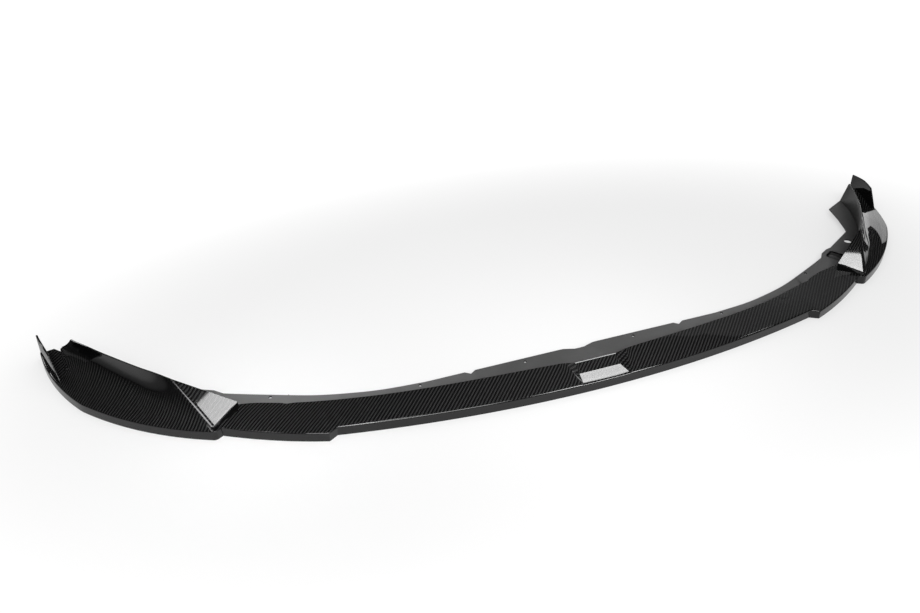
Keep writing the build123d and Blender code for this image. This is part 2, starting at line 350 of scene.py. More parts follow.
def corner(before, at, after, size):
    """Small round at a corner."""
    back = before - at
    on = after - at
    reach = min(size, 0.45 * back.length, 0.45 * on.length)
    start = at + back.normalized() * reach
    end = at + on.normalized() * reach
    return [start.lerp(at, t).lerp(at.lerp(end, t), t) for t in CORNER_SHARES]


def line(start, end, spans):
    return [start.lerp(end, i / spans) for i in range(spans + 1)]


def section(foot, surface, facet, wall_back, rear_foot, crest, flange_foot, flange_rear):
    """One section of the skin, from the rim's foot to the flange's rear edge.

    Every section has as many rows.
    """
    rim = surface[0]
    step_foot = surface[-1]
    step_top = facet[0]
    top = facet[-1]
    rows = [foot]
    rows += corner(foot, rim, surface[1], RIM_ROUND)
    rows += surface[1:-1]
    rows += corner(surface[-2], step_foot, step_top, FOOT_ROUND)
    rows += corner(step_foot, step_top, facet[1], EDGE_ROUND)
    rows += facet[1:-1]
    rows += corner(facet[-2], top, wall_back, EDGE_ROUND)
    rows += corner(top, wall_back, rear_foot, EDGE_ROUND)
    gloss_end = len(rows) - 1
    rows += corner(wall_back, rear_foot, crest, FOOT_ROUND)
    gloss_again = len(rows) - 1
    rows += line(rear_foot, crest, 3)[1:-1]
    rows += corner(rear_foot, crest, flange_foot, EDGE_ROUND)
    gloss_stop = len(rows) - 1
    rows += corner(crest, flange_foot, flange_rear, FOOT_ROUND)
    rows += line(flange_foot, flange_rear, 4)[1:-1]
    rows += [flange_rear]
    strips = range(len(rows) - 1)
    GLOSS_ROWS[:] = [i < gloss_end or gloss_again <= i < gloss_stop for i in strips]
    return rows


def flange_edge(x):
    if x <= FLANGE_STRAIGHT[-1][0]:
        return straight(FLANGE_STRAIGHT, x)[0]
    return through(FLANGE_SWEEP, x)[0]


def split_share(x):
    """How far back on the band the facet's inner corner will stand."""
    if x < FACET_ROOM_X:
        return 1.0
    edge = front_y(FACET_INNER.x)
    crest_y = through(CREST_BOTH_WAYS, FACET_INNER.x)[0]
    at_corner = (FACET_INNER.y - edge) / (crest_y - edge)
    t = (x - FACET_ROOM_X) / (FACET_INNER.x - FACET_ROOM_X)
    return 1.0 + (at_corner - 1.0) * t * t * (3 - 2 * t)


def crowned(point, share):
    """The band swells a little between its rim and its crest."""
    return point + Vector((0, 0, BAND_CROWN * 4 * share * (1 - share)))


def band_section(x):
    crest_y, crest_z = through(CREST_BOTH_WAYS, x)
    edge = front_y(x)
    share = split_share(x)
    rim = Vector((x, edge, RIM))
    crest = Vector((x, crest_y, crest_z))
    surface = [crowned(rim.lerp(crest, share * s), share * s) for s in BAND_SHARES]
    split = surface[-1]
    facet = [split.copy() for i in range(FACET_SPANS + 1)]
    level = FLANGE - GROOVE_DEPTH * max(0.0, 1 - abs(x - GROOVE_X) / GROOVE_HALF)
    back = Vector((x, crest_y, level))
    rear = Vector((x, flange_edge(x), level))
    return section(Vector((x, edge, 0)), surface, facet, split, split, crest, back, rear)


def scoop_column(width, level):
    """Section through the scoop, from its half width and its height at each place."""
    crest_y = through(CREST_BOTH_WAYS, SCOOP_CREST_X)[0]
    edge = front_y(width(0))
    surface = [Vector((width(0), edge, RIM))]
    for s in BAND_SHARES[1:]:
        y = edge + s * (crest_y - edge)
        surface.append(Vector((width(y), y, max(RIM, level(width(y), y)))))
    top = surface[-1]
    facet = [top.copy() for i in range(FACET_SPANS + 1)]
    back = Vector((top.x, crest_y, FLANGE))
    rear = Vector((top.x, flange_edge(top.x), FLANGE))
    return section(Vector((width(0), edge, 0)), surface, facet, top, top, top, back, rear)


def scoop_floor_z(x, y):
    return straight(SCOOP_LINE, y)[0]


def scoop_sections():
    """Across the floor, then two close together at the foot and at the top of the side."""
    made = [scoop_column(lambda y, x=x: x, scoop_floor_z) for x in (0, 10, 20, 30, 37)]
    for inside in (1.2, 0):
        made.append(scoop_column(lambda y: straight(SCOOP_FOOT, y)[0] - inside, scoop_floor_z))
    for outside in (0, 1.6):
        made.append(scoop_column(lambda y: straight(SCOOP_TOP, y)[0] + outside, band_z))
    return made


def facet_section(share):
    """Across the tongue, up the step and over the facet; share 1 is at the ridge."""
    tongue = Vector((TONGUE_END_X, front_y(TONGUE_END_X)))
    if share < TONGUE_SHARE:
        x = FACET_INNER.x + (TONGUE_END_X - FACET_INNER.x) * share / TONGUE_SHARE
        rim = Vector((x, front_y(x), RIM))
    else:
        place = tongue.lerp(END_CORNER, (share - TONGUE_SHARE) / (1 - TONGUE_SHARE))
        rim = Vector((place.x, place.y, RIM))
    step_top = FACET_INNER.lerp(FACET_TIP, share)
    top = FACET_INNER.lerp(FACET_TOP, share)
    foot_z = min(band_z(min(step_top.x, BAND_END_X), step_top.y), step_top.z)
    step_foot = Vector((step_top.x, step_top.y, foot_z))
    reach = 1.0 - share
    surface = []
    for s in BAND_SHARES:
        swell = BAND_CROWN * reach * 3 * s * (1 - s)
        surface.append(rim.lerp(step_foot, s) + Vector((0, 0, swell)))
    facet = line(step_top, top, FACET_SPANS)
    crest_y, crest_z = through(CREST_BOTH_WAYS, min(top.x, CREST[-1][0]))
    if top.y < crest_y:
        rear_foot = Vector((top.x, top.y, band_z(top.x, top.y)))
        crest = Vector((top.x, crest_y, crest_z))
        back = Vector((top.x, crest_y, FLANGE))
    else:
        rear_foot = Vector((top.x, top.y, FLANGE))
        crest = rear_foot.copy()
        back = rear_foot.copy()
    rear = Vector((*straight(FLANGE_FACET, share), FLANGE))
    return section(Vector((rim.x, rim.y, 0)), surface, facet, top, rear_foot, crest, back, rear)


def station(at):
    """Foot on the outline, wall top, way across, height and lean at a place along the end."""
    rows = []
    for i, (foot, top, height, lean) in enumerate(END_STATIONS):
        rows.append((i, *foot, *top, height, lean))
    foot_x, foot_y, top_x, top_y, height, lean = through(rows, at)
    foot = Vector((foot_x, foot_y))
    top = Vector((top_x, top_y))
    across = (top - foot).normalized()
    return on_outline(foot, across), top, across, height, lean


def dish_point(foot, top, height, ridge, t):
    """Point of the dish at a share of its curve from the rim to the wall top."""
    depth = (top - foot).length
    straight_low = Vector((depth / 3, RIM + (height - RIM) / 3))
    straight_turn = Vector((2 * depth / 3, RIM + 2 * (height - RIM) / 3))
    low = Vector((DISH_LOW[0] * depth, RIM + DISH_LOW[1])).lerp(straight_low, ridge)
    turn = Vector((DISH_TURN[0] * depth, RIM + DISH_TURN[1])).lerp(straight_turn, ridge)
    edge = Vector((0, RIM))
    crown = Vector((depth, height))
    p = edge * (1 - t) ** 3 + low * (3 * t * (1 - t) ** 2)
    p = p + turn * (3 * t * t * (1 - t)) + crown * t**3
    place = foot + (top - foot).normalized() * p.x
    return Vector((place.x, place.y, p.y))


def ridge_share(at):
    """The section turns from the straight ridge into the dish over the first stations."""
    return max(0.0, through(RIDGE_SHARES, at)[0])


def dish_section(at):
    foot, top, across, height, lean = station(at)
    ridge = ridge_share(at)
    front = FRONT_SHARE + FRONT_GROWTH * min(1.0, at) ** FRONT_POWER
    upper = [front + (1 - front) * i / FACET_SPANS for i in range(FACET_SPANS + 1)]
    surface = [dish_point(foot, top, height, ridge, front * s) for s in BAND_SHARES]
    facet = [dish_point(foot, top, height, ridge, t) for t in upper]
    behind = top + across * WALL_TOP
    under = behind + across * (lean * (height - FLANGE) / height)
    wall_back = Vector((behind.x, behind.y, height))
    rear_foot = Vector((under.x, under.y, FLANGE))
    rear = Vector((*straight(FLANGE_END, at), FLANGE))
    rim_foot = Vector((foot.x, foot.y, 0))
    return section(rim_foot, surface, facet, wall_back, rear_foot, rear_foot, rear_foot, rear)


def tail_sections(count):
    """From the last full section to the leaning plane that trims the rear."""
    start = dish_section(LAST_FULL_STATION)
    end = dish_section(TAIL_STATION)
    normal = (REAR_TRIM[1] - REAR_TRIM[0]).cross(REAR_TRIM[2] - REAR_TRIM[0])
    centre, radius = SIDE_CIRCLE
    made = []
    for k in range(1, count + 1):
        rows = []
        for i, (p, q) in enumerate(zip(start, end)):
            if i >= DISH_ROWS:
                rows.append(p.copy())
                continue
            way = q - p
            reach = (REAR_TRIM[0] - p).dot(normal) / way.dot(normal)
            reach = max(0.0, min(reach, (TAIL_END_Y - p.y) / way.y))
            moved = p + way * (reach * k / count)
            if i < RIM_ROWS:
                inset = (p.xy - start[0].xy).length
                flat = centre + (moved.xy - centre).normalized() * (radius - inset)
                moved = Vector((flat.x, flat.y, p.z))
            rows.append(moved)
        made.append(rows)
    return made


def blended(before, at, after, steps):
    """Sections that round off the corner between three others."""
    made = []
    for k in range(steps + 1):
        t = k / steps
        made.append([p.lerp(q, t).lerp(q.lerp(r, t), t) for p, q, r in zip(before, at, after)])
    return made


def right_sections():
    """All sections from the middle to the tail."""
    made = scoop_sections()
    places = list(range(70, 206, 15)) + [215] + list(range(225, 361, 15))
    places += list(range(372, 457, 12)) + [466, 473, 476, 479, 484, 489, 492, 495, 503]
    places += list(range(514, 599, 12)) + [607, 613, FACET_INNER.x]
    made += [band_section(x) for x in places]
    shares = [0, 0.02, 0.06, 0.14, 0.22, 0.29, 0.36, 0.45, 0.54, 0.62, 0.7, 0.72, 0.74, 0.8, 0.88]
    made += [facet_section(s) for s in shares]
    made += blended(facet_section(0.93), dish_section(0), dish_section(0.07), 8)
    places = [0.1, 0.15, 0.22, 0.3, 0.4, 0.5, 0.6, 0.7, 0.8, 0.9]
    places += [1 + 0.125 * i for i in range(41)]
    made += [dish_section(u) for u in places]
    made += tail_sections(TAIL_COUNT)
    return made


# Shader tools
class Net:
    def __init__(self, tree):
        self.tree = tree

    def node(self, kind, **settings):
        made = self.tree.nodes.new(kind)
        for name, value in settings.items():
            setattr(made, name, value)
        return made

    def link(self, source, target):
        self.tree.links.new(source, target)

    def feed(self, made, values):
        for place, value in values.items():
            socket = made.inputs[place]
            if hasattr(value, "is_output"):
                self.link(value, socket)
            else:
                socket.default_value = value
        return made

    def math(self, operation, first, second=None, third=None):
        made = self.node("ShaderNodeMath", operation=operation)
        values = {0: first}
        if second is not None:
            values[1] = second
        if third is not None:
            values[2] = third
        return self.feed(made, values).outputs[0]

    def noise(self, place, scale, detail):
        made = self.node("ShaderNodeTexNoise")
        self.feed(made, {"Vector": place, "Scale": scale, "Detail": detail})
        return made.outputs["Fac"]

    def bump(self, height, strength, distance):
        made = self.node("ShaderNodeBump")
        self.feed(made, {"Strength": strength, "Distance": distance, "Height": height})
        return made.outputs[0]

    def smooth_range(self, value, start, end, near, far):
        made = self.node("ShaderNodeMapRange", interpolation_type="SMOOTHSTEP")
        self.feed(made, {0: value, 1: start, 2: end, 3: near, 4: far})
        return made.outputs[0]

    def mix(self, share, first, second):
        made = self.node("ShaderNodeMix", data_type="RGBA")
        self.feed(made, {0: share, 6: first, 7: second})
        return made.outputs[2]


def twill_group():
    """Two-by-two twill: share of the lit tows, their height, and their filaments."""
    group = bpy.data.node_groups.new("twill_weave", "ShaderNodeTree")
    face = group.interface
    face.new_socket("Cloth", in_out="INPUT", socket_type="NodeSocketVector")
    width = face.new_socket("Tow Width", in_out="INPUT", socket_type="NodeSocketFloat")
    width.default_value = TOW_WIDTH
    face.new_socket("Lit Share", in_out="OUTPUT", socket_type="NodeSocketFloat")
    face.new_socket("Height", in_out="OUTPUT", socket_type="NodeSocketFloat")
    face.new_socket("Streak", in_out="OUTPUT", socket_type="NodeSocketFloat")
    net = Net(group)
    entry = net.node("NodeGroupInput")
    leave = net.node("NodeGroupOutput")
    apart = net.feed(net.node("ShaderNodeSeparateXYZ"), {0: entry.outputs["Cloth"]})
    across = net.math("DIVIDE", apart.outputs[0], entry.outputs["Tow Width"])
    along = net.math("DIVIDE", apart.outputs[1], entry.outputs["Tow Width"])
    column = net.math("FLOOR", across)
    row = net.math("FLOOR", along)
    in_column = net.math("SUBTRACT", across, column)
    in_row = net.math("SUBTRACT", along, row)
    step = net.math("FLOORED_MODULO", net.math("SUBTRACT", column, row), 4.0)
    warp = net.math("LESS_THAN", step, 1.5)
    # Place along a float and across a tow, for the warp and for the weft
    warp_run = net.math("MULTIPLY", net.math("SUBTRACT", net.math("ADD", step, 1.0), in_row), 0.5)
    weft_start = net.math("SUBTRACT", step, 2.0)
    weft_run = net.math("MULTIPLY", net.math("ADD", weft_start, in_column), 0.5)

    def crown(share, power):
        swing = net.math("ABSOLUTE", net.math("SUBTRACT", net.math("MULTIPLY", share, 2.0), 1.0))
        return net.math("SUBTRACT", 1.0, net.math("POWER", swing, power))

    warp_height = net.math("MULTIPLY", crown(warp_run, 3.0), crown(in_column, 4.0))
    weft_height = net.math("MULTIPLY", crown(weft_run, 3.0), crown(in_row, 4.0))
    warp_part = net.math("MULTIPLY", warp, warp_height)
    weft_part = net.math("MULTIPLY", net.math("SUBTRACT", 1.0, warp), weft_height)
    height = net.math("ADD", warp_part, weft_part)

    def filaments(by_column, by_row):
        made = net.node("ShaderNodeCombineXYZ")
        wide = net.math("MULTIPLY", across, by_column)
        long = net.math("MULTIPLY", along, by_row)
        return net.feed(made, {0: wide, 1: long, 2: warp}).outputs[0]

    # Filaments, drawn out along each tow
    pick = net.node("ShaderNodeMix", data_type="VECTOR")
    net.feed(pick, {0: warp, 4: filaments(0.35, 14.0), 5: filaments(14.0, 0.35)})
    streak = net.noise(pick.outputs[1], 1.0, 1.0)
    net.link(warp, leave.inputs["Lit Share"])
    net.link(height, leave.inputs["Height"])
    net.link(streak, leave.inputs["Streak"])
    return group


TWILL = twill_group()


def new_material(name):
    material = bpy.data.materials.new(name)
    material.use_nodes = True
    net = Net(material.node_tree)
    bsdf = material.node_tree.nodes["Principled BSDF"]
    return material, net, bsdf


def gloss_twill():
    """Clear-coated cloth: the warp is lit, the weft stays dark."""
    material, net, bsdf = new_material("gloss_twill")
    cloth = net.node("ShaderNodeUVMap", uv_map="cloth")
    weave = net.node("ShaderNodeGroup", node_tree=TWILL)
    net.feed(weave, {"Cloth": cloth.outputs[0], "Tow Width": TOW_WIDTH})
    # Painted highlight: each tow is painted brighter along its crown than at its sides
    crest = net.math("MULTIPLY_ADD", weave.outputs["Height"], 0.9, 0.1)
    grain = net.math("MULTIPLY_ADD", weave.outputs["Streak"], 0.9, 0.55)
    light = net.math("MULTIPLY", crest, grain)
    lit = net.mix(light, (0.004, 0.004, 0.0042, 1), (0.039, 0.039, 0.039, 1))
    dim = net.mix(light, (0.002, 0.002, 0.0021, 1), (0.004, 0.004, 0.0042, 1))
    # Painted shade: on faces that look less far up, the lit tows are painted as dark as the weft
    top_light_paint = net.node("ShaderNodeAttribute", attribute_name="top_light_paint")
    shown = net.math("MULTIPLY", weave.outputs["Lit Share"], top_light_paint.outputs["Fac"])
    net.link(net.mix(shown, dim, lit), bsdf.inputs["Base Color"])
    bsdf.inputs["Roughness"].default_value = 0.6
    bsdf.inputs["Specular IOR Level"].default_value = 0.03
    bsdf.inputs["Coat Weight"].default_value = 1.0
    bsdf.inputs["Coat Roughness"].default_value = 0.03
    net.link(net.bump(weave.outputs["Height"], 0.35, 0.0003), bsdf.inputs["Normal"])
    return material


def matte_back():
    """Satin back and flange, slightly clouded."""
    material, net, bsdf = new_material("matte_back")
    place = net.node("ShaderNodeTexCoord")
    cloud = net.noise(place.outputs["Object"], 25.0, 5.0)
    fine = net.noise(place.outputs["Object"], 900.0, 2.0)
    shade = net.math("MULTIPLY_ADD", fine, 0.35, net.math("MULTIPLY", cloud, 0.65))
    # Painted light: the up-facing flat of the flange is painted paler towards both ends
    top_light_paint = net.node("ShaderNodeAttribute", attribute_name="top_light_paint")
    apart = net.feed(net.node("ShaderNodeSeparateXYZ"), {0: place.outputs["Object"]})
    ends = net.smooth_range(net.math("ABSOLUTE", apart.outputs[0]), 0.05, 0.4, 0.0, 1.0)
    middle = net.mix(shade, (0.033, 0.033, 0.033, 1), (0.078, 0.078, 0.078, 1))
    lit_paint_tone = net.mix(shade, (0.11, 0.11, 0.11, 1), (0.195, 0.195, 0.195, 1))
    painted_light_share = net.math("MULTIPLY", ends, top_light_paint.outputs["Fac"])
    net.link(net.mix(painted_light_share, middle, lit_paint_tone), bsdf.inputs["Base Color"])
    bsdf.inputs["Roughness"].default_value = 0.45
    bsdf.inputs["Specular IOR Level"].default_value = 0.3
    net.link(net.bump(fine, 0.2, 0.0002), bsdf.inputs["Normal"])
    return material


# The skin: all sections joined into one sheet, which then gets its thickness
def cloth_rows(rows):
    """Where the cloth lies: on the plan at the rim, then unrolled over the section."""
    way = rows[-1] - rows[0]
    way = Vector((way.x, way.y)).normalized()
    place = Vector((rows[0].x, rows[0].y)) - way * RIM
    laid = [place]
    for before, after in zip(rows, rows[1:]):
        place = place + way * (after - before).length
        laid.append(place)
    return laid


def new_piece(name, points, faces, cloth):
    mesh = bpy.data.meshes.new(name)
    mesh.from_pydata([stand(p) for p in points], [], faces)
    layer = mesh.uv_layers.new(name="cloth")
    for loop in mesh.loops:
        u, v = cloth[loop.vertex_index]
        layer.uv[loop.index].vector = (u / 1000, v / 1000)
    piece = bpy.data.objects.new(name, mesh)
    bpy.context.scene.collection.objects.link(piece)
    return piece


def mirrored(rows):
    return [Vector((-p[0], *p[1:])) for p in rows]


def lay_skin():
    right = right_sections()
    right_cloth = [cloth_rows(rows) for rows in right]
    sections = [mirrored(rows) for rows in reversed(right[1:])] + right
    cloth = [mirrored(rows) for rows in reversed(right_cloth[1:])] + right_cloth
    count = len(right[0])
    faces = []
    for i in range(len(sections) - 1):
        for j in range(count - 1):
            start = i * count + j
            faces.append((start, start + count, start + count + 1, start + 1))
    skin = new_piece("lip_skin", sum(sections, []), faces, sum(cloth, []))
    for face in skin.data.polygons:
        face.material_index = 0 if GLOSS_ROWS[face.index % (count - 1)] else 1
    activate(skin)
    bpy.ops.object.mode_set(mode="EDIT")
    bpy.ops.mesh.select_all(action="SELECT")
    bpy.ops.mesh.remove_doubles(threshold=0.00002)
    bpy.ops.mesh.dissolve_degenerate(threshold=0.00001)
    bpy.ops.mesh.select_all(action="DESELECT")
    bpy.ops.object.mode_set(mode="OBJECT")
    return skin


def thicken(piece, thickness, offset, **settings):
    """Give a sheet its thickness: offset -1 is inward, 1 outward."""
    activate(piece)
    wall = piece.modifiers.new("wall", "SOLIDIFY")
    wall.thickness = thickness / 1000
    wall.offset = offset
    for name, value in settings.items():
        setattr(wall, name, value)
    bpy.ops.object.modifier_apply(modifier="wall")


def cap_faces(count):
    return [tuple(range(count)), tuple(range(count, 2 * count))]


def side_faces(count):
    """Walls between a first and a second outline of as many points."""
    return [(i, (i + 1) % count, count + (i + 1) % count, count + i) for i in range(count)]


def plan(points):
    return [(p[0], p[1]) for p in points]


def prism(name, outline, low, high):
    """Straight block on a plan outline."""
    count = len(outline)
    points = [(x, y, level) for level in (low, high) for x, y in outline]
    block = new_piece(name, points, cap_faces(count) + side_faces(count), plan(points))
    turn_out(block)
    return block


def turn_out(piece):
    """Let all faces look outward."""
    activate(piece)
    bpy.ops.object.mode_set(mode="EDIT")
    bpy.ops.mesh.select_all(action="SELECT")
    bpy.ops.mesh.normals_make_consistent(inside=False)
    bpy.ops.mesh.select_all(action="DESELECT")
    bpy.ops.object.mode_set(mode="OBJECT")


def side_x(y, inset):
    """Side of the outline at a place, moved in."""
    centre, radius = SIDE_CIRCLE
    return centre.x + math.sqrt((radius - inset) ** 2 - (y - centre.y) ** 2)


def slot_line(y):
    """Inner edge of the air slot."""
    start, end = (SLOT_FRONT, SLOT_KINK) if y < SLOT_KINK.y else (SLOT_KINK, SLOT_REAR)
    return start.x + (end.x - start.x) * (y - start.y) / (end.y - start.y)


def slot_outline():
    """Plan of the slot, with room for the rolled edge along its inner side."""
    side = [(side_x(y, RIM_WIDTH), y) for y in range(SLOT_CUT_START_Y, SLOT_CUT_END_Y + 1, 2)]
    outer = [(x, y) for x, y in side if x > slot_line(y) - SLOT_ROLL + 0.5]
    turns = (outer[0][1] + 4, SLOT_KINK.y - 1, SLOT_CUT_END_Y)
    inner = [(slot_line(y) - SLOT_ROLL, y) for y in turns]
    return inner + list(reversed(outer))


def cut(skin, cutters):
    """Take all cutters away from the skin at once."""
    activate(cutters[0])
    for cutter in cutters[1:]:
        cutter.select_set(True)
    bpy.ops.object.join()
    cutter = bpy.context.view_layer.objects.active
    activate(skin)
    opening = skin.modifiers.new("opening", "BOOLEAN")
    opening.operation = "DIFFERENCE"
    opening.solver = "EXACT"
    opening.object = cutter
    bpy.ops.object.modifier_apply(modifier="opening")
    activate(cutter)
    bpy.ops.object.delete()


def slots_and_holes(skin):
    right = slot_outline()
    left = [(-x, y) for x, y in right]
    cutters = [
        prism("slot_right", right, SLOT_FLOOR, SLOT_CUT_TOP),
        prism("slot_left", left, SLOT_FLOOR, SLOT_CUT_TOP),
    ]
    for side in (-1, 1):
        cutters.append(prism("pocket", pocket_outline(side), POCKET_FLOOR, FLANGE + 1))
    for x, y, radius in SCREWS:
        for side in (-1, 1):
            deselect()
            bpy.ops.mesh.primitive_cylinder_add(
                vertices=32,
                radius=radius / 1000,
                depth=SCREW_CUT / 1000,
                location=stand((side * x, y, FLANGE)),
            )
            cutters.append(bpy.context.view_layer.objects.active)
    cut(skin, cutters)


def pocket_outline(side):
    """Rounded rectangle of the clip pocket."""
    half_x = POCKET_SIZE[0] / 2 - POCKET_ROUND
    half_y = POCKET_SIZE[1] / 2 - POCKET_ROUND
    turn = math.radians(POCKET_TURN)
    outline = []
    centres = [(half_x, half_y), (-half_x, half_y), (-half_x, -half_y), (half_x, -half_y)]
    for quarter, (cx, cy) in enumerate(centres):
        for step in range(5):
            a = math.radians(90 * quarter + 22.5 * step)
            x = cx + POCKET_ROUND * math.cos(a)
            y = cy + POCKET_ROUND * math.sin(a)
            px = POCKET_PLACE[0] + x * math.cos(turn) - y * math.sin(turn)
            py = POCKET_PLACE[1] + x * math.sin(turn) + y * math.cos(turn)
            outline.append((side * px, py))
    return outline


def pocket_tray(side):
    """Walls and floor of the clip pocket, hung from the flange."""
    outline = pocket_outline(side)
    count = len(outline)
    points = [(x, y, level) for level in (FLANGE, POCKET_FLOOR) for x, y in outline]
    tray = new_piece("clip_pocket", points, side_faces(count) + cap_faces(count)[1:], plan(points))
    turn_out(tray)
    thicken(tray, SKIN, 1)
    return tray


def fin(side):
    """Upright fin on the rear of the side, round along its top."""

    def outer_x(y):
        """The curve through the three places of the fin's line."""
        total = 0.0
        for i, (yi, xi) in enumerate(FIN_LINE):
            part = xi
            for k, (yk, _) in enumerate(FIN_LINE):
                if k != i:
                    part *= (y - yk) / (yi - yk)
            total += part
        return total

    places = [338, 341, 345, 350, 356, 362, 368, 373, 376, 378, 380, 384, 390]
    places += list(range(398, 447, 8)) + [453, 458.2]
    points = []
    cloth = []
    for y in places:
        x = outer_x(y)
        slope = outer_x(y + 0.5) - outer_x(y - 0.5)
        inward = Vector((-1, slope, 0)).normalized() * FIN_WIDTH
        if y <= FIN_SHOULDER_Y:
            height = straight(FIN_TOP, y)[0]
        else:
            height = through(FIN_TOP[2:], y)[0]
        foot = Vector((x, y, 0))
        top = Vector((x, y, height))
        rows = [foot]
        rows += corner(foot, top, top + inward, FIN_ROUND)
        rows += corner(top, top + inward, foot + inward, FIN_ROUND)
        rows += [foot + inward]
        for row in rows:
            points.append(Vector((side * row.x, row.y, row.z)))
            cloth.append((side * (FIN_CLOTH_X + row.z), row.y))
    count = len(points) // len(places)
    faces = []
    for i in range(len(places) - 1):
        for j in range(count):
            a = i * count + j
            b = i * count + (j + 1) % count
            faces.append((a, b, b + count, a + count))
    faces.append(tuple(range(count)))
    faces.append(tuple(range(len(points) - count, len(points))))
    made = new_piece("fin", points, faces, cloth)
    turn_out(made)
    return made


def ramp_z(y):
    """The slot's floor rises towards the rear."""
    return SLOT_FLOOR + (SLOT_FLOOR_REAR - SLOT_FLOOR) * max(0.0, y - RAMP_FRONT_Y) / RAMP_RUN


def slot_floor(side):
    """Floor of the air slot with its ramp, up to the middle of the rim."""
    inner_places = (428, 410, 390, SLOT_KINK.y, 355, RAMP_FRONT_Y)
    inner = [(slot_line(y) - SLOT_FLOOR_LAP, y) for y in inner_places]
    outer = [(side_x(y, RIM_WIDTH / 2), y) for y in range(340, 437, 6)]
    outline = inner + outer + [SLOT_FLOOR_CORNER]
    count = len(outline)
    points = [(side * x, y, ramp_z(y) - drop) for drop in (SKIN, 0) for x, y in outline]
    floor = new_piece("slot_floor", points, cap_faces(count) + side_faces(count), plan(points))
    turn_out(floor)
    return floor


def rolled_edge(skin, side):
    """Inner edge of the slot, rolled down from the dish to the slot's floor."""
    places = [343, 346, 350, 355, 360, 365, 369, 373] + list(range(378, 427, 6))
    points = []
    cloth = []
    for y in places:
        x = slot_line(y)
        slope = slot_line(y + 1) - slot_line(y - 1)
        outward = Vector((1, -slope / 2, 0)).normalized()
        start = Vector((x, y, 0)) - outward * (SLOT_ROLL + ROLL_LAP)
        above = stand((side * start.x, start.y, ABOVE_ALL))
        hit, place = skin.ray_cast(above, Vector((0, 0, -1)))[:2]
        level = place.z * 1000 if hit else RIM
        rows = [start + Vector((0, 0, level - ROLL_SINK))]
        for turn in ROLL_TURNS:
            a = math.radians(turn)
            away = outward * (SLOT_ROLL * (math.sin(a) - 1))
            rows.append(Vector((x, y, level - SLOT_ROLL * (1 - math.cos(a)))) + away)
        rows.append(Vector((x, y, min(ramp_z(y) - ROLL_UNDER, level - SLOT_ROLL - 0.5))))
        run = 0.0
        for before, row in zip(rows[:1] + rows, rows):
            run += (row - before).length
            points.append(Vector((side * row.x, row.y, row.z)))
            cloth.append((side * (start.x + run), row.y))
    count = len(points) // len(places)
    faces = []
    for i in range(len(places) - 1):
        for j in range(count - 1):
            a = i * count + j
            quad = (a, a + 1, a + count + 1, a + count)
            faces.append(quad if side > 0 else quad[::-1])
    edge = new_piece("rolled_edge", points, faces, cloth)
    thicken(edge, ROLL_SKIN, -1)
    return edge


GLOSS = gloss_twill()
MATTE = matte_back()


def dressed(piece):
    """Both finishes, gloss first."""
    piece.data.materials.append(GLOSS)
    piece.data.materials.append(MATTE)
    return piece


lip = dressed(lay_skin())
thicken(
    lip,
    SKIN,
    -1,
    use_even_offset=True,
    thickness_clamp=1.0,
    material_offset=1,
    material_offset_rim=0,
)
edges = [rolled_edge(lip, 1), rolled_edge(lip, -1)]
slots_and_holes(lip)
blocks = [fin(1), fin(-1), slot_floor(1), slot_floor(-1)]
extras = [dressed(piece) for piece in edges + blocks]
for side in (-1, 1):
    tray = dressed(pocket_tray(side))
    for face in tray.data.polygons:
        face.material_index = 1
    extras.append(tray)
activate(lip)
for extra in extras:
    extra.select_set(True)
bpy.ops.object.join()
activate(lip)
bpy.ops.object.shade_smooth_by_angle(angle=math.radians(SMOOTH_ANGLE))
weight = lip.modifiers.new("weight", "WEIGHTED_NORMAL")
weight.mode = "FACE_AREA"
weight.weight = 50
weight.keep_sharp = True
bpy.ops.object.modifier_apply(modifier="weight")


def mark_top_light_paint(piece):
    """How far each corner looks up; the materials use it to paint shade on the weave of steep faces
    and to paint light on the flange's ends.
    """
    shares = []
    for normal in piece.data.corner_normals:
        t = min(1.0, max(0.0, (normal.vector.z - TOP_LIGHT_FROM) / TOP_LIGHT_SPAN))
        shares.append(t * t * (3 - 2 * t))
    layer = piece.data.attributes.new("top_light_paint", "FLOAT", "CORNER")
    layer.data.foreach_set("value", shares)


mark_top_light_paint(lip)

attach(lip, "root")
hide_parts("front_lip")


